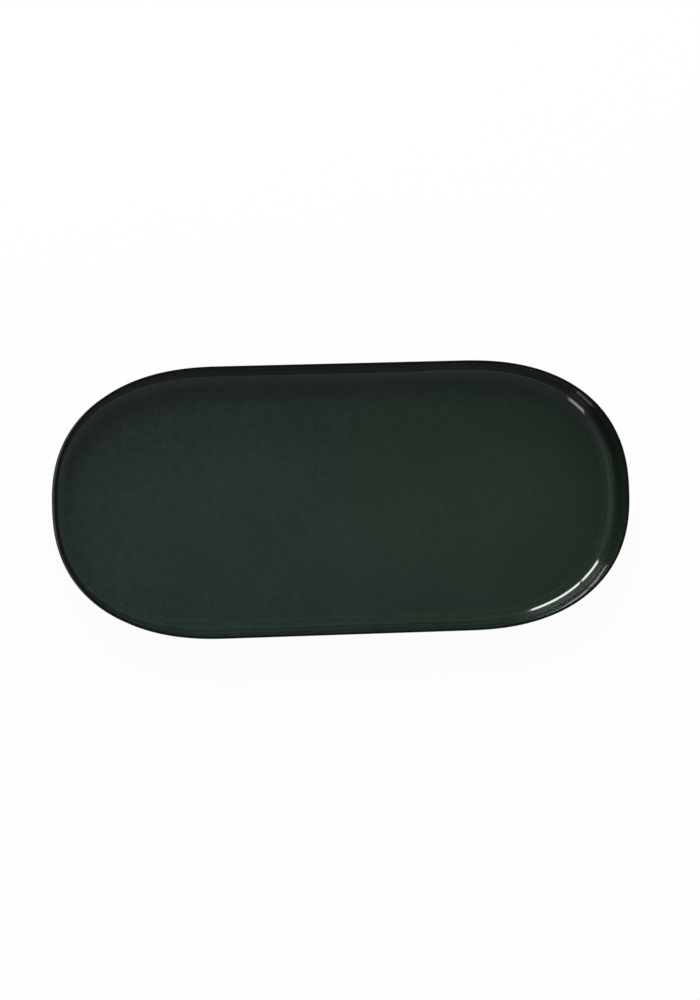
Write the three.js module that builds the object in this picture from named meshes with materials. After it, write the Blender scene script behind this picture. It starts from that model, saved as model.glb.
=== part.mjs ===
// Oval serving tray: one steel sheet, pressed into a low-walled shell and enamelled, on four rubber feet
// that adhesive discs hold to its underside.
// Millimetres, +Z up, +X along the tray. The origin is on the table, under the middle of the tray.
import * as THREE from "three";

// Plan of the rim
const TRAY_LENGTH = 300;
const TRAY_WIDTH = 136.5;
const END_LENGTH = 87; // from where a straight side stops to the tip of the rounded end
const END_FULLNESS = 2.34; // superellipse power of the ends: 2 is an ellipse, more is squarer

// Section of the pressed sheet
const WELL_DEPTH = 16.5; // floor to the top of the rim
const SHEET_THICKNESS = 1.2; // steel with an enamel coat on both faces
const WALL_LEAN = THREE.MathUtils.degToRad(6); // outwards, from upright
const FLOOR_FILLET = 8; // inside radius between floor and wall

// Feet and the discs that hold them
const FOOT_DIAMETER = 10; // at the bonded face
const FOOT_HEIGHT = 2;
const FOOT_LEAN = THREE.MathUtils.degToRad(12); // draft of the moulded side
const FOOT_ROUND = 0.6; // radius between side and tread
const FOOT_MARGIN = 6; // from the edge of the flat underside to the foot
const FOOT_BEARING = THREE.MathUtils.degToRad(45); // round the end curve, from its tip to its straight side
const DISC_DIAMETER = 9;
const DISC_THICKNESS = 0.3;

// Facets
const END_STEPS = 22; // in a quarter of the plan
const ROUND_STEPS = 4; // pairs of facets in each round of a section
const FOOT_SIDES = 32;

// Levels
const UNDERSIDE = FOOT_HEIGHT + DISC_THICKNESS;
const FLOOR = UNDERSIDE + SHEET_THICKNESS;
const RIM_TOP = FLOOR + WELL_DEPTH;

const DOWN = -Math.PI / 2;

const enamel = new THREE.MeshStandardMaterial({ color: 0x1a2d25, roughness: 0.15, metalness: 0 });
const rubber = new THREE.MeshStandardMaterial({ color: 0x1c1c1c, roughness: 0.8, metalness: 0 });
const adhesive = new THREE.MeshStandardMaterial({ color: 0xb9b6a8, roughness: 0.6, metalness: 0 });

// One point of the rim's plan with its outward direction. `end` is 1 for the right end and -1 for the left,
// and `angle` runs from -90 to 90 degrees round that end.
function planStation(end, angle) {
  const cos = Math.cos(angle);
  const sin = Math.abs(Math.sin(angle));
  const turn = Math.sign(angle);
  const power = 2 / END_FULLNESS;
  const halfWidth = TRAY_WIDTH / 2;
  const straight = TRAY_LENGTH / 2 - END_LENGTH;
  const point = new THREE.Vector2(
    straight + END_LENGTH * cos ** power,
    turn * halfWidth * sin ** power,
  );
  const outward = new THREE.Vector2(
    cos ** (2 - power) / END_LENGTH,
    (turn * sin ** (2 - power)) / halfWidth,
  );
  return {
    point: point.multiplyScalar(end),
    outward: outward.normalize().multiplyScalar(end),
  };
}

// The whole plan, counter-clockwise. The gap between the two ends' stations is a straight side.
function planStations() {
  const stations = [];
  for (const end of [1, -1]) {
    for (let step = -END_STEPS; step <= END_STEPS; step++) {
      stations.push(planStation(end, ((step / END_STEPS) * Math.PI) / 2));
    }
  }
  return stations;
}

// Centre of the round between a face at height `level` and a side that leans out by `lean` through `point`.
function roundCentre(point, lean, radius, level) {
  const upSide = new THREE.Vector2(Math.sin(lean), Math.cos(lean));
  const inward = new THREE.Vector2(-upSide.y, upSide.x);
  const centre = point.clone().addScaledVector(inward, radius);
  return centre.addScaledVector(upSide, (level + radius - centre.y) / upSide.y);
}

// The section's points are distances out from the rim's plan, negative inside it, and heights.
// Centre of the rounded edge of the sheet.
function rimCentre() {
  return new THREE.Vector2(-SHEET_THICKNESS / 2, RIM_TOP - SHEET_THICKNESS / 2);
}

// Centre of the bend from floor to wall. Floor and underside are flat inside its distance.
function bendCentre() {
  const wallTop = new THREE.Vector2(-Math.cos(WALL_LEAN), Math.sin(WALL_LEAN));
  wallTop.multiplyScalar(SHEET_THICKNESS / 2).add(rimCentre());
  return roundCentre(wallTop, WALL_LEAN, FLOOR_FILLET, FLOOR);
}

// The sheet's section, from the edge of the floor up the wall, over the rim and down to the underside.
function sheetSection() {
  const bend = bendCentre();
  const rim = rimCentre();
  const section = new THREE.Path();
  section.absarc(bend.x, bend.y, FLOOR_FILLET, DOWN, -WALL_LEAN, false);
  section.absarc(rim.x, rim.y, SHEET_THICKNESS / 2, Math.PI - WALL_LEAN, -WALL_LEAN, true);
  section.absarc(bend.x, bend.y, FLOOR_FILLET + SHEET_THICKNESS, -WALL_LEAN, DOWN, true);
  return section.getPoints(ROUND_STEPS);
}

// The shell: the section carried round the plan, closed by the flat floor and the flat underside.
function shellGeometry() {
  const stations = planStations();
  const section = sheetSection();
  const count = stations.length;
  const positions = [];
  for (const { x: distance, y: height } of section) {
    for (const { point, outward } of stations) {
      const place = point.clone().addScaledVector(outward, distance);
      positions.push(place.x, place.y, height);
    }
  }

  const triangles = [];
  for (let ring = 0; ring < section.length - 1; ring++) {
    for (let i = 0; i < count; i++) {
      const here = ring * count + i;
      const beside = ring * count + ((i + 1) % count);
      triangles.push(here, here + count, beside + count);
      triangles.push(here, beside + count, beside);
    }
  }

  const flat = stations.map(({ point, outward }) => point.clone().addScaledVector(outward, section[0].x));
  const lastRing = (section.length - 1) * count;
  for (const [a, b, c] of THREE.ShapeUtils.triangulateShape(flat, [])) {
    triangles.push(a, b, c);
    triangles.push(lastRing + c, lastRing + b, lastRing + a);
  }

  const geometry = new THREE.BufferGeometry();
  geometry.setAttribute("position", new THREE.Float32BufferAttribute(positions, 3));
  geometry.setIndex(triangles);
  geometry.computeVertexNormals();
  return geometry;
}

// A foot: flat tread on the table, rounded edge, drafted side and flat bonded face.
function footGeometry() {
  const top = new THREE.Vector2(FOOT_DIAMETER / 2, FOOT_HEIGHT);
  const edge = roundCentre(top, FOOT_LEAN, FOOT_ROUND, 0);
  const profile = new THREE.Path();
  profile.moveTo(0, 0);
  profile.lineTo(edge.x, 0);
  profile.absarc(edge.x, edge.y, FOOT_ROUND, DOWN, -FOOT_LEAN, false);
  profile.lineTo(top.x, top.y);
  profile.lineTo(0, FOOT_HEIGHT);
  return new THREE.LatheGeometry(profile.getPoints(ROUND_STEPS), FOOT_SIDES).rotateX(Math.PI / 2);
}

function discGeometry() {
  const radius = DISC_DIAMETER / 2;
  return new THREE.CylinderGeometry(radius, radius, DISC_THICKNESS, FOOT_SIDES).rotateX(Math.PI / 2);
}

function named(name, geometry, material) {
  const mesh = new THREE.Mesh(geometry, material);
  mesh.name = name;
  return mesh;
}

// One foot on its disc, FOOT_MARGIN inside the edge of the flat underside.
function footUnder(corner, end, bearing) {
  const { point, outward } = planStation(end, bearing);
  const inset = bendCentre().x - FOOT_MARGIN - FOOT_DIAMETER / 2;
  const place = point.addScaledVector(outward, inset);
  const foot = named(`foot_${corner}`, footGeometry(), rubber);
  const disc = named(`foot_disc_${corner}`, discGeometry(), adhesive);
  disc.position.z = FOOT_HEIGHT + DISC_THICKNESS / 2;
  const pair = new THREE.Group();
  pair.add(foot, disc);
  pair.position.set(place.x, place.y, 0);
  return pair;
}

const tray = new THREE.Group();
tray.add(named("tray_shell", shellGeometry(), enamel));
tray.add(footUnder("front_left", -1, FOOT_BEARING));
tray.add(footUnder("front_right", 1, -FOOT_BEARING));
tray.add(footUnder("rear_left", -1, -FOOT_BEARING));
tray.add(footUnder("rear_right", 1, FOOT_BEARING));

export default tray;
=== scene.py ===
import math

import bmesh
import bpy
from mathutils import Matrix, Vector


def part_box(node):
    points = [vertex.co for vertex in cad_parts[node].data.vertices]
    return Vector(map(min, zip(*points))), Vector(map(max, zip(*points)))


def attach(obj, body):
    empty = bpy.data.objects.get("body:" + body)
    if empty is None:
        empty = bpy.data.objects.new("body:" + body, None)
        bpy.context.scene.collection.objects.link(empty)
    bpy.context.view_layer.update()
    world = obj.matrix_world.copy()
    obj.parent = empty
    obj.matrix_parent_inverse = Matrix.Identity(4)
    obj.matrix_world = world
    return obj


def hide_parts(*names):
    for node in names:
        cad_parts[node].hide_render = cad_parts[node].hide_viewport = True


MM = 0.001

# Shell: its overall size comes from the frame
END_LENGTH = 87 * MM  # from where a straight side stops to the tip of the rounded end
END_FULLNESS = 2.34  # superellipse power of the ends: 2 is an ellipse, more is squarer
SHEET_THICKNESS = 1.2 * MM
WALL_LEAN = math.radians(6)  # outwards, from upright
FLOOR_FILLET = 8 * MM  # inside radius between floor and wall
FLAT_MARGIN = 0.6 * MM  # a ring of the floor, wall and underside beside each round, which keeps them flat

# Feet and discs: their places and sizes come from the frame
FOOT_LEAN = math.radians(12)  # draft of the moulded side
FOOT_ROUND = 0.6 * MM  # radius between side and tread
FOOT_LIP = 0.15 * MM  # eased edge of the bonded face
FOOT_FLAT = 0.9  # share of the tread and the bonded face inside the ring that keeps them flat
DISC_BULGE = 0.1 * MM  # how far the pressed adhesive swells at its edge
DISC_FLAT = 0.95  # share of a disc's faces inside the ring that keeps them flat
MERGE_DISTANCE = 0.001 * MM  # closes the seam of a turned shape

# Facets
END_STEPS = 56  # in a quarter of the plan
SIDE_STEPS = 20  # along a straight side
BEND_STEPS = 32
RIM_STEPS = 12
FOOT_SIDES = 64
FOOT_STEPS = 6

# Colours of the enamel
ENAMEL_GREEN = (0.0042, 0.0133, 0.0087, 1)
ENAMEL_PALE = (0.0093, 0.0220, 0.0157, 1)
ENAMEL_OLIVE = (0.0015, 0.0148, 0.0040, 1)  # the coat turns yellower towards the right end
ENAMEL_WALL_SHADE = (0.0152, 0.0150, 0.0136, 1)  # painted shade: a greyer, darker colour up the wall, most along the rear side, whose face turns away from the window
ENAMEL_SPECK_PALE = (0.03, 0.043, 0.036, 1)
ENAMEL_SPECK_DARK = (0.001, 0.0065, 0.0035, 1)
GROUND_COAT = (0.0042, 0.0048, 0.0046, 1)  # under the green, and bare along the rim and outside
GROUND_COAT_PALE = (0.011, 0.0128, 0.0122, 1)
OLIVE_STRENGTH = 0.6  # at the right end
# How strongly the wall is painted with shade
WALL_SHADE_STRENGTH = 0.3
REAR_WALL_SHADE_STRENGTH = 0.6  # added to that along the rear side, as more painted shade on the wall that faces away from the window
EDGE_STRENGTH = 0.5  # of the ground coat that shows through under the rim
DARK_SPECK_STRENGTH = 0.7
PALE_SPECK_STRENGTH = 0.3
GROUND_SPECK_STRENGTH = 0.5

# Patches and marks of the enamel
CLOUD_SIZE = 55 * MM
MOTTLE_SIZE = 4 * MM
FINE_MOTTLE_SIZE = 1.4 * MM
MOTTLE_SHARE = 0.7  # beside the clouds
SPECK_RADIUS = 0.8 * MM
DARK_SPECK_SPACING = 3 * MM
PALE_SPECK_SPACING = 4 * MM
SPECK_SHARE = 0.5  # of the places where a speck could be
WALL_SHADE_START = 2 * MM  # above the underside, where the painted shade on the wall begins
WALL_SHADE_END = 5 * MM
EDGE_DEPTH = 1.2 * MM  # below the top of the rim, where the ground coat starts to show through
EDGE_WAVER = 1.2 * MM  # how far that line wanders
EDGE_WAVER_SIZE = 5 * MM
GROUND_CLOUD_SIZE = 17 * MM
GROUND_SPECK_SPACING = 6 * MM
GROUND_SPECK_RADIUS = 0.5 * MM
GROUND_SPECK_SHARE = 0.4

# Gloss and unevenness of the enamel
ENAMEL_IOR = 1.5
GLOSSY = 0.07  # roughness of the clean bend and wall, to which the next four are added
SMUDGED = 0.03
WORN = 0.43  # on the floor
WORN_SMUDGED = 0.06
EDGE_DRY = 0.25
SMUDGE_SIZE = 30 * MM
WORN_HEIGHT = 0.4 * MM  # above the floor, where the worn finish ends
RIPPLE_DEPTH = 0.08 * MM
RIPPLE_SIZE = 5 * MM
RIPPLE_SHARE = 0.1  # of the depth, all over
RUN_SIZE = 7 * MM  # runs in the coat, down the wall
RUN_STRETCH = 5  # how many times as high as wide they are
RUN_SHARE = 1.6  # of the depth
RUN_START = 6 * MM  # above the underside
RUN_END = 10 * MM
GRIT_SIZE = 0.5 * MM  # of the dry rim
GRIT_DEPTH = 0.01 * MM
PEEL_SIZE = 2.2 * MM  # orange peel of the ground coat outside
PEEL_DEPTH = 0.02 * MM
SATIN_SPECULAR = 0.07  # of the ground coat outside

# Rubber and adhesive
RUBBER_BLACK = (0.011, 0.011, 0.012, 1)
RUBBER_DUSTY = (0.032, 0.031, 0.029, 1)
GRAIN_SIZE = 0.25 * MM
GRAIN_DEPTH = 0.02 * MM
DUST_SIZE = 2.5 * MM
ADHESIVE_MILKY = (0.42, 0.41, 0.36, 1)
ADHESIVE_PALE = (0.52, 0.51, 0.45, 1)
ADHESIVE_BUBBLE = (0.66, 0.66, 0.62, 1)
HAZE_SIZE = 1.5 * MM
BUBBLE_SPACING = 0.5 * MM
BUBBLE_RADIUS = 0.15 * MM
BUBBLE_SHARE = 0.6
BUBBLE_STRENGTH = 0.5
BUBBLE_DEPTH = 0.02 * MM

# Photograph
PHOTO_HEIGHT = 1000  # pixels
PHOTO_SCALE = 1989  # pixels to a metre, at the rim
PHOTO_CENTRE = Vector((2.58, -0.62, 20)) * MM  # the point of the tray in the middle of the picture
CAMERA_DISTANCE = 4.0
CAMERA_TIP_LEFT = math.radians(15.5)  # from straight above, towards the left end
CAMERA_TIP_FRONT = math.radians(0.8)
CAMERA_ROLL = math.radians(-1.88)

# Studio
WHITE = (1, 1, 1, 1)
FLOOR_SIZE = 8
FLOOR_OFFSET = 1  # to the right, which keeps the floor's diagonal seam away from the tray
FLOOR_WHITE = (0.86, 0.86, 0.86, 1)
FLOOR_GLOW = 0.95  # how far the floor shows plain white, without shadow
ROOM_GREY = 0.33
HORIZON_GLOW = 0.06  # added to the grey round the horizon
LEFT_GLOW = 0.26  # added to it high on the left
LAMP_DISTANCE = 1.6
LAMP_WATTS = 4  # for a square metre of lamp with a brightness of 1
# Lamps: azimuths counter-clockwise from the right end and elevations, in degrees, brightness, and
# whether they light matt surfaces and show in gloss
LAMPS = {
    "skylight": ((88, 135), (33, 47), 10.4, True, False),
    "window_pane_near": ((115, 133), (5, 25), 15, False, True),
    "window_pane_far": ((86, 113), (5, 25), 15, False, True),
    "side_window": ((236.5, 250), (4, 30), 3.6, False, True),
    "front_window": ((285, 325), (8, 24), 8, True, False),
    "window_light": ((86, 133), (6, 22), 7, True, False),
}

CORNERS = ("front_left", "front_right", "rear_left", "rear_right")

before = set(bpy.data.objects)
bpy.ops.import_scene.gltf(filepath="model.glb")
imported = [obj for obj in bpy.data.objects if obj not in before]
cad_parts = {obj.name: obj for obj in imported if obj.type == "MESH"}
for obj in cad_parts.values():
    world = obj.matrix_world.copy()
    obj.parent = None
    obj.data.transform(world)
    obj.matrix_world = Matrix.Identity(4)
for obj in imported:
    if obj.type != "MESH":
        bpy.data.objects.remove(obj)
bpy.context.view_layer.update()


class Signal:
    """One output in a node tree. Arithmetic on signals and numbers adds Math nodes."""

    def __init__(self, finish, socket):
        self.finish = finish
        self.socket = socket

    def also(self, output):
        """Another output of the same node."""
        return Signal(self.finish, self.socket.node.outputs[output])

    def maths(self, operation, first, second):
        return self.finish.node("ShaderNodeMath", {"operation": operation}, {0: first, 1: second})

    def or_more(self, other):
        """The larger of the two."""
        return self.maths("MAXIMUM", self, other)

    def __add__(self, other):
        return self.maths("ADD", self, other)

    __radd__ = __add__

    def __rsub__(self, other):
        return self.maths("SUBTRACT", other, self)

    def __mul__(self, other):
        return self.maths("MULTIPLY", self, other)

    __rmul__ = __mul__


class Finish:
    """The node tree of a material or of the world, cleared to be written as expressions."""

    def __init__(self, owner):
        owner.use_nodes = True
        self.owner = owner
        self.tree = owner.node_tree
        self.tree.nodes.clear()

    def node(self, kind, settings, sockets, output=0):
        """Adds a node, with its settings and the values or signals of its sockets, and gives one output."""
        made = self.tree.nodes.new(kind)
        for name, value in settings.items():
            setattr(made, name, value)
        for name, value in sockets.items():
            if isinstance(value, Signal):
                self.tree.links.new(value.socket, made.inputs[name])
            else:
                made.inputs[name].default_value = value
        return Signal(self, made.outputs[output]) if made.outputs else None

    def place(self):
        """Where on the tray a point is, in metres."""
        return self.node("ShaderNodeTexCoord", {}, {}, "Object")

    def noise(self, place, size, detail=2.0):
        """Soft cloudy variation from 0 to 1, in patches of about `size`."""
        sockets = {"Vector": place, "Scale": 1 / size, "Detail": detail}
        return self.node("ShaderNodeTexNoise", {}, sockets, "Fac")

    def fade(self, value, start, end):
        """0 where the value is at or before `start`, 1 from `end` on, and smooth between."""
        sockets = {"Value": value, "From Min": start, "From Max": end}
        return self.node("ShaderNodeMapRange", {"interpolation_type": "SMOOTHSTEP"}, sockets)

    def specks(self, place, spacing, radius, share):
        """Round soft-edged specks about `spacing` apart, in that share of the places where one could be."""
        cells = self.node("ShaderNodeTexVoronoi", {}, {"Vector": place, "Scale": 1 / spacing}, "Distance")
        chance = self.node("ShaderNodeSeparateColor", {}, {"Color": cells.also("Color")}, "Red")
        near = 1 - self.fade(cells, 0.5 * radius / spacing, radius / spacing)
        return near * self.fade(chance, 1 - share, 1 - 0.7 * share)

    def blend(self, factor, first, second):
        """From the first colour to the second."""
        return self.node("ShaderNodeMix", {"data_type": "RGBA"}, {0: factor, 6: first, 7: second}, 2)

    def bump(self, height, depth):
        """The direction of a surface that is raised by the height times `depth`."""
        sockets = {"Height": height, "Distance": depth, "Strength": 1.0}
        return self.node("ShaderNodeBump", {}, sockets, "Normal")

    def surface(self, shader):
        """The finished material, which shows that shader."""
        self.node("ShaderNodeOutputMaterial", {}, {"Surface": shader})
        return self.owner

    def principled(self, sockets):
        """The finished material, with one Principled shader and those sockets."""
        return self.surface(self.node("ShaderNodeBsdfPrincipled", {}, sockets))


def enamel_finish():
    """Glossy dark green glass enamel over a black ground coat."""
    finish = Finish(bpy.data.materials.new("enamel"))
    place = finish.place()
    low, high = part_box("tray_shell")
    floor = low.z + SHEET_THICKNESS
    along = finish.node("ShaderNodeSeparateXYZ", {}, {"Vector": place}, "X")
    across = along.also("Y")
    height = along.also("Z")

    cloud = finish.noise(place, CLOUD_SIZE, 4)
    mottle = 0.5 * finish.noise(place, FINE_MOTTLE_SIZE, 3) + 0.5 * finish.noise(place, MOTTLE_SIZE, 2)
    tone = finish.fade((1 - MOTTLE_SHARE) * cloud + MOTTLE_SHARE * mottle, 0.4, 0.62)
    colour = finish.blend(tone, ENAMEL_GREEN, ENAMEL_PALE)
    colour = finish.blend(OLIVE_STRENGTH * finish.fade(along, low.x, high.x), colour, ENAMEL_OLIVE)
    dark_specks = finish.specks(place, DARK_SPECK_SPACING, SPECK_RADIUS, SPECK_SHARE)
    colour = finish.blend(DARK_SPECK_STRENGTH * dark_specks, colour, ENAMEL_SPECK_DARK)
    pale_specks = finish.specks(place, PALE_SPECK_SPACING, SPECK_RADIUS, SPECK_SHARE)
    colour = finish.blend(PALE_SPECK_STRENGTH * pale_specks, colour, ENAMEL_SPECK_PALE)

    # Painted shade: the wall is darkened and greyed, more along the rear side, whose face turns away from
    # the window
    wall_shade = finish.fade(height, low.z + WALL_SHADE_START, low.z + WALL_SHADE_END)
    rear = finish.fade(across, 0, high.y)
    colour = finish.blend((WALL_SHADE_STRENGTH + REAR_WALL_SHADE_STRENGTH * rear) * wall_shade, colour, ENAMEL_WALL_SHADE)
    waver = EDGE_WAVER * finish.noise(place, EDGE_WAVER_SIZE)
    edge = finish.fade(height + waver, high.z - EDGE_DEPTH, high.z)
    colour = finish.blend(EDGE_STRENGTH * edge, colour, GROUND_COAT)

    smudge = finish.fade(finish.noise(place, SMUDGE_SIZE, 5), 0.35, 0.75)
    worn = 1 - finish.fade(height, floor, floor + WORN_HEIGHT)
    roughness = GLOSSY + SMUDGED * smudge + (WORN + WORN_SMUDGED * smudge) * worn + EDGE_DRY * edge

    wall = finish.fade(height, low.z + RUN_START, low.z + RUN_END)
    upright = finish.node("ShaderNodeMapping", {}, {"Vector": place, "Scale": (1, 1, 1 / RUN_STRETCH)})
    runs = RUN_SHARE * wall * finish.noise(upright, RUN_SIZE, 1)
    ripple = RIPPLE_SHARE * finish.noise(place, RIPPLE_SIZE, 2) + runs
    return finish.principled({
        "Base Color": colour,
        "Roughness": roughness,
        "IOR": ENAMEL_IOR,
        "Normal": finish.bump(ripple, RIPPLE_DEPTH),
    })


def rim_finish():
    """Dry black ground coat, where the green has drawn back from the edge of the sheet."""
    finish = Finish(bpy.data.materials.new("bare_rim"))
    grit = finish.noise(finish.place(), GRIT_SIZE, 3)
    return finish.principled({
        "Base Color": finish.blend(finish.fade(grit, 0.35, 0.75), GROUND_COAT, GROUND_COAT_PALE),
        "Roughness": 0.8 + 0.15 * grit,
        "Specular IOR Level": 0.0,
        "Normal": finish.bump(grit, GRIT_DEPTH),
    })


def ground_coat_finish():
    """Satin black ground coat, as it is left on the outside of the shell, with a little orange peel."""
    finish = Finish(bpy.data.materials.new("ground_coat"))
    place = finish.place()
    cloud = finish.fade(finish.noise(place, GROUND_CLOUD_SIZE, 4), 0.25, 0.8)
    peel = finish.noise(place, PEEL_SIZE, 2)
    specks = finish.specks(place, GROUND_SPECK_SPACING, GROUND_SPECK_RADIUS, GROUND_SPECK_SHARE)
    colour = finish.blend(cloud, GROUND_COAT, GROUND_COAT_PALE)
    colour = finish.blend(GROUND_SPECK_STRENGTH * specks, colour, ENAMEL_SPECK_PALE)
    return finish.principled({
        "Base Color": colour,
        "Roughness": 0.65 + 0.15 * cloud,
        "Specular IOR Level": SATIN_SPECULAR,
        "Normal": finish.bump(peel, PEEL_DEPTH),
    })


def rubber_finish():
    """Matt moulded black rubber, greyed a little by dust."""
    finish = Finish(bpy.data.materials.new("rubber"))
    place = finish.place()
    grain = finish.noise(place, GRAIN_SIZE, 3)
    dust = finish.fade(finish.noise(place, DUST_SIZE, 5), 0.45, 0.8)
    return finish.principled({
        "Base Color": finish.blend(dust, RUBBER_BLACK, RUBBER_DUSTY),
        "Roughness": 0.62 + 0.25 * dust,
        "Normal": finish.bump(grain, GRAIN_DEPTH),
    })


def adhesive_finish():
    """Milky acrylic adhesive, with faint bubbles."""
    finish = Finish(bpy.data.materials.new("adhesive"))
    place = finish.place()
    bubbles = finish.specks(place, BUBBLE_SPACING, BUBBLE_RADIUS, BUBBLE_SHARE)
    haze = finish.noise(place, HAZE_SIZE, 3)
    colour = finish.blend(haze, ADHESIVE_MILKY, ADHESIVE_PALE)
    return finish.principled({
        "Base Color": finish.blend(BUBBLE_STRENGTH * bubbles, colour, ADHESIVE_BUBBLE),
        "Roughness": 0.45 + 0.2 * haze,
        "Normal": finish.bump(bubbles, BUBBLE_DEPTH),
    })


def arc(centre, radius, start, end, steps):
    """Points of an arc in a section, from one angle to the other."""
    angles = [start + (end - start) * step / steps for step in range(steps + 1)]
    return [centre + radius * Vector((math.cos(a), math.sin(a))) for a in angles]


def round_centre(point, lean, radius, level):
    """Centre of the round between a face at height `level` and a side that leans out through `point`."""
    up_side = Vector((math.sin(lean), math.cos(lean)))
    centre = point + radius * Vector((-up_side.y, up_side.x))
    return centre + up_side * ((level + radius - centre.y) / up_side.y)


def sheet_section():
    """The sheet's section, in three runs: inside, rounded edge and outside.

    Its points are distances out from the rim's plan, negative inside it, and heights.
    """
    low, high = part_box("tray_shell")
    floor = low.z + SHEET_THICKNESS
    half_sheet = SHEET_THICKNESS / 2
    rim = Vector((-half_sheet, high.z - half_sheet))
    wall_top = rim + half_sheet * Vector((-math.cos(WALL_LEAN), math.sin(WALL_LEAN)))
    bend = round_centre(wall_top, WALL_LEAN, FLOOR_FILLET, floor)
    down = -math.pi / 2
    inner_bend = arc(bend, FLOOR_FILLET, down, -WALL_LEAN, BEND_STEPS)
    edge = arc(rim, half_sheet, math.pi - WALL_LEAN, -WALL_LEAN, RIM_STEPS)
    outer_bend = arc(bend, FLOOR_FILLET + SHEET_THICKNESS, -WALL_LEAN, down, BEND_STEPS)
    flat_edge = bend.x - FLAT_MARGIN
    up_wall = FLAT_MARGIN * Vector((math.sin(WALL_LEAN), math.cos(WALL_LEAN)))
    inside = [Vector((flat_edge, floor)), *inner_bend, inner_bend[-1] + up_wall, edge[0] - up_wall]
    outside = [edge[-1] - up_wall, outer_bend[0] + up_wall, *outer_bend, Vector((flat_edge, low.z))]
    return inside, edge, outside


def plan_stations():
    """The rim's plan, counter-clockwise, as points with their outward directions."""
    half_length, half_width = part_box("tray_shell")[1].xy
    straight = half_length - END_LENGTH
    power = 2 / END_FULLNESS
    stations = []
    for end in (1, -1):
        for step in range(-END_STEPS, END_STEPS + 1):
            angle = math.pi / 2 * step / END_STEPS
            cos = max(math.cos(angle), 0)
            sin = abs(math.sin(angle))
            turn = math.copysign(1, step)
            point = Vector((straight + END_LENGTH * cos**power, turn * half_width * sin**power))
            outward = Vector((cos ** (2 - power) / END_LENGTH, turn * sin ** (2 - power) / half_width))
            stations.append((end * point, end * outward.normalized()))
        side = end * Vector((straight, half_width))
        for step in range(1, SIDE_STEPS):
            along = Vector((side.x * (1 - 2 * step / SIDE_STEPS), side.y))
            stations.append((along, end * Vector((0, 1))))
    return stations


def tray_shell():
    """The shell: a ring on the edge of the floor, drawn out along the section and closed under the tray.

    Its faces take the first finish inside, the second along the rounded edge and the third outside.
    """
    stations = plan_stations()
    inside, rounded, outside = sheet_section()
    edge_start = len(inside)
    edge_end = edge_start + RIM_STEPS
    shell = bmesh.new()
    station_of = shell.verts.layers.int.new("station")
    ring = bmesh.ops.create_circle(shell, cap_ends=True, segments=len(stations), radius=1)["verts"]
    for number, vertex in enumerate(ring):
        vertex[station_of] = number
    edges = list(shell.edges)
    for level, (distance, height) in enumerate(inside + rounded + outside):
        if level > 0:
            drawn = bmesh.ops.extrude_edge_only(shell, edges=edges)["geom"]
            ring = [part for part in drawn if isinstance(part, bmesh.types.BMVert)]
            edges = [part for part in drawn if isinstance(part, bmesh.types.BMEdge)]
            for band in (part for part in drawn if isinstance(part, bmesh.types.BMFace)):
                band.material_index = int(level > edge_start) + int(level > edge_end)
        for vertex in ring:
            point, outward = stations[vertex[station_of]]
            vertex.co = (*(point + distance * outward), height)
    bmesh.ops.contextual_create(shell, geom=edges, mat_nr=2)
    return shell


def spun(profile, centre):
    """A turned shape: its profile of radii and heights, from axis to axis, spun round an upright axis."""
    shape = bmesh.new()
    points = [shape.verts.new((radius, 0, height)) for radius, height in profile]
    for first, second in zip(points, points[1:]):
        shape.edges.new((first, second))
    bmesh.ops.spin(
        shape,
        geom=list(shape.verts) + list(shape.edges),
        cent=(0, 0, 0),
        axis=(0, 0, 1),
        angle=2 * math.pi,
        steps=FOOT_SIDES,
        use_merge=True,
    )
    bmesh.ops.remove_doubles(shape, verts=shape.verts, dist=MERGE_DISTANCE)
    bmesh.ops.translate(shape, verts=shape.verts, vec=(centre.x, centre.y, 0))
    return shape


def foot(corner):
    """A moulded foot: flat tread, rounded edge, drafted side and flat bonded face with an eased lip."""
    low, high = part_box(f"foot_{corner}")
    radius = (high.x - low.x) / 2
    top = Vector((radius, high.z))
    edge = round_centre(top, FOOT_LEAN, FOOT_ROUND, low.z)
    lip = Vector((radius - FOOT_LIP, high.z - FOOT_LIP))
    profile = [
        Vector((0, low.z)),
        Vector((edge.x * FOOT_FLAT, low.z)),
        *arc(edge, FOOT_ROUND, -math.pi / 2, -FOOT_LEAN, FOOT_STEPS),
        *arc(lip, FOOT_LIP, -FOOT_LEAN, math.pi / 2, FOOT_STEPS),
        Vector((lip.x * FOOT_FLAT, high.z)),
        Vector((0, high.z)),
    ]
    return spun(profile, (low + high) / 2)


def foot_disc(corner):
    """A disc of adhesive, pressed so that its edge swells."""
    low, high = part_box(f"foot_disc_{corner}")
    radius = (high.x - low.x) / 2 - DISC_BULGE
    middle = (low.z + high.z) / 2
    half = high.z - middle
    angles = [math.pi * (step / FOOT_STEPS - 0.5) for step in range(FOOT_STEPS + 1)]
    profile = [
        Vector((0, low.z)),
        Vector((radius * DISC_FLAT, low.z)),
        *[Vector((radius + DISC_BULGE * math.cos(a), middle + half * math.sin(a))) for a in angles],
        Vector((radius * DISC_FLAT, high.z)),
        Vector((0, high.z)),
    ]
    return spun(profile, (low + high) / 2)


def add_mesh(name, shape, finishes):
    """An object of that shape, with its finishes."""
    mesh = bpy.data.meshes.new(name)
    shape.to_mesh(mesh)
    shape.free()
    for finish in finishes:
        mesh.materials.append(finish)
    made = bpy.data.objects.new(name, mesh)
    bpy.context.scene.collection.objects.link(made)
    return made


def add_piece(name, shape, finishes, node):
    """A finished piece that stands for a CAD node."""
    bmesh.ops.recalc_face_normals(shape, faces=shape.faces)
    piece = add_mesh(name, shape, finishes)
    piece.data.shade_smooth()
    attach(piece, "root")
    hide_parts(node)


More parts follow.
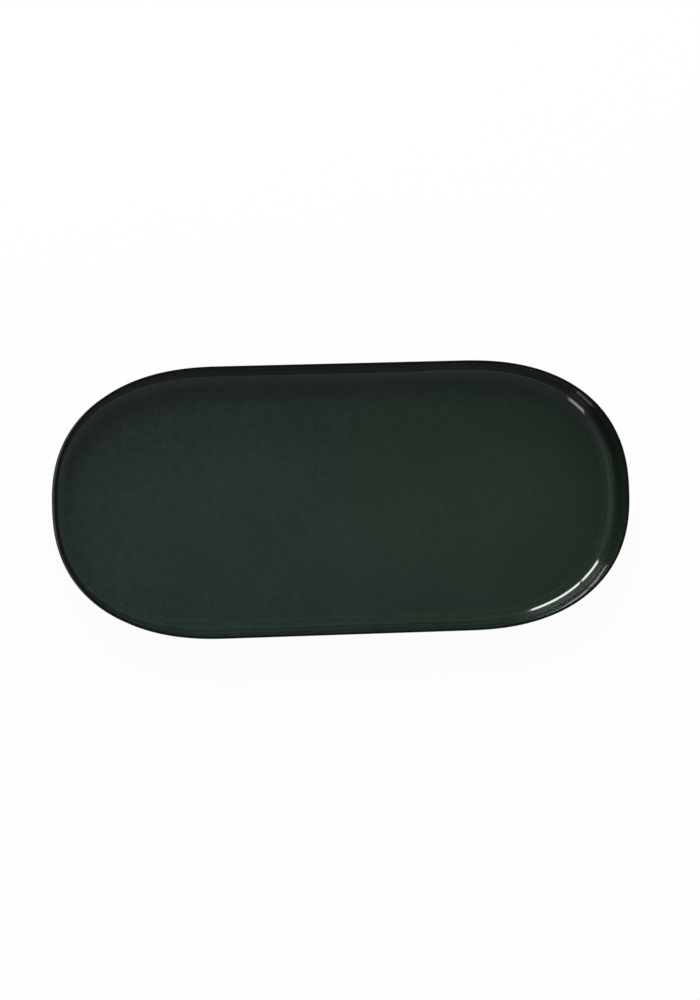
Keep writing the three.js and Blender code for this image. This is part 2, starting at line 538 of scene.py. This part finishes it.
def floor_finish():
    """Pale and matt, with a faint shadow, and clear from below."""
    finish = Finish(bpy.data.materials.new("studio_floor"))
    path = finish.node("ShaderNodeLightPath", {}, {}, "Is Camera Ray")
    seen = path.or_more(path.also("Is Glossy Ray")).or_more(path.also("Is Transmission Ray"))
    matt = finish.node("ShaderNodeBsdfDiffuse", {}, {"Color": FLOOR_WHITE})
    glow = finish.node("ShaderNodeEmission", {}, {"Color": WHITE, "Strength": 1.0})
    clear = finish.node("ShaderNodeBsdfTransparent", {}, {})
    lit = finish.node("ShaderNodeMixShader", {}, {0: FLOOR_GLOW * seen, 1: matt, 2: glow})
    behind = finish.node("ShaderNodeNewGeometry", {}, {}, "Backfacing")
    return finish.surface(finish.node("ShaderNodeMixShader", {}, {0: behind, 1: lit, 2: clear}))


def studio_floor():
    """A pale floor that keeps the tray's soft shadow and can't be seen from below."""
    shape = bmesh.new()
    place = Matrix.Translation((FLOOR_OFFSET, 0, 0))
    bmesh.ops.create_grid(shape, x_segments=1, y_segments=1, size=FLOOR_SIZE / 2, matrix=place)
    floor = add_mesh("studio_floor", shape, [floor_finish()])


def sky():
    """An even grey room, a little paler round the horizon and high on the left."""
    world = bpy.data.worlds.new("studio")
    bpy.context.scene.world = world
    finish = Finish(world)
    way = finish.node("ShaderNodeTexCoord", {}, {}, "Generated")
    up = finish.node("ShaderNodeSeparateXYZ", {}, {"Vector": way}, "Z")
    left = finish.fade(-1 * up.also("X"), 0.35, 0.7) * finish.fade(up, 0.35, 0.6)
    horizon = 1 - finish.fade(up, 0.03, 0.16)
    brightness = ROOM_GREY + HORIZON_GLOW * horizon + LEFT_GLOW * left
    background = finish.node("ShaderNodeBackground", {}, {"Color": WHITE, "Strength": brightness})
    finish.node("ShaderNodeOutputWorld", {}, {"Surface": background})


def soft_box(name, azimuths, elevations, radiance, lights_matt, shows_in_gloss):
    """A soft lamp that faces the tray and fills those angles, as seen from it."""
    around = math.radians(sum(azimuths) / 2)
    above = math.radians(sum(elevations) / 2)
    way = Vector((math.cos(around) * math.cos(above), math.sin(around) * math.cos(above), math.sin(above)))
    half_width = math.radians(azimuths[1] - azimuths[0]) / 2 * math.cos(above)
    half_height = math.radians(elevations[1] - elevations[0]) / 2
    lamp = bpy.data.lights.new(name, "AREA")
    lamp.shape = "RECTANGLE"
    lamp.size = 2 * LAMP_DISTANCE * math.tan(half_width)
    lamp.size_y = 2 * LAMP_DISTANCE * math.tan(half_height)
    lamp.energy = LAMP_WATTS * radiance * lamp.size * lamp.size_y
    box = bpy.data.objects.new(name, lamp)
    box.location = LAMP_DISTANCE * way
    box.rotation_euler = way.to_track_quat("Z", "Y").to_euler()
    box.visible_camera = False
    box.visible_diffuse = lights_matt
    box.visible_glossy = shows_in_gloss
    bpy.context.scene.collection.objects.link(box)


def photo_camera():
    """The photograph's view: nearly straight down, tipped towards the left end and turned a little."""
    back = Vector((-math.tan(CAMERA_TIP_LEFT), -math.tan(CAMERA_TIP_FRONT), 1)).normalized()
    right = Vector((0, 1, 0)).cross(back).normalized()
    turn = Matrix.Rotation(CAMERA_ROLL, 3, back)
    axes = Matrix((turn @ right, turn @ back.cross(right), back)).transposed()
    lens = bpy.data.cameras.new("photo_camera")
    lens.lens = lens.sensor_width * PHOTO_SCALE * CAMERA_DISTANCE / PHOTO_HEIGHT
    camera = bpy.data.objects.new("photo_camera", lens)
    camera.matrix_world = Matrix.Translation(PHOTO_CENTRE + CAMERA_DISTANCE * back) @ axes.to_4x4()
    bpy.context.scene.collection.objects.link(camera)
    bpy.context.scene.camera = camera


rubber = rubber_finish()
adhesive = adhesive_finish()
shell_finishes = [enamel_finish(), rim_finish(), ground_coat_finish()]
add_piece("enamelled_shell", tray_shell(), shell_finishes, "tray_shell")
for corner in CORNERS:
    add_piece(f"rubber_foot_{corner}", foot(corner), [rubber], f"foot_{corner}")
    add_piece(f"adhesive_disc_{corner}", foot_disc(corner), [adhesive], f"foot_disc_{corner}")

photo_camera()
sky()
studio_floor()
for name, lamp in LAMPS.items():
    soft_box(name, *lamp)
bpy.context.scene.view_settings.view_transform = "Standard"
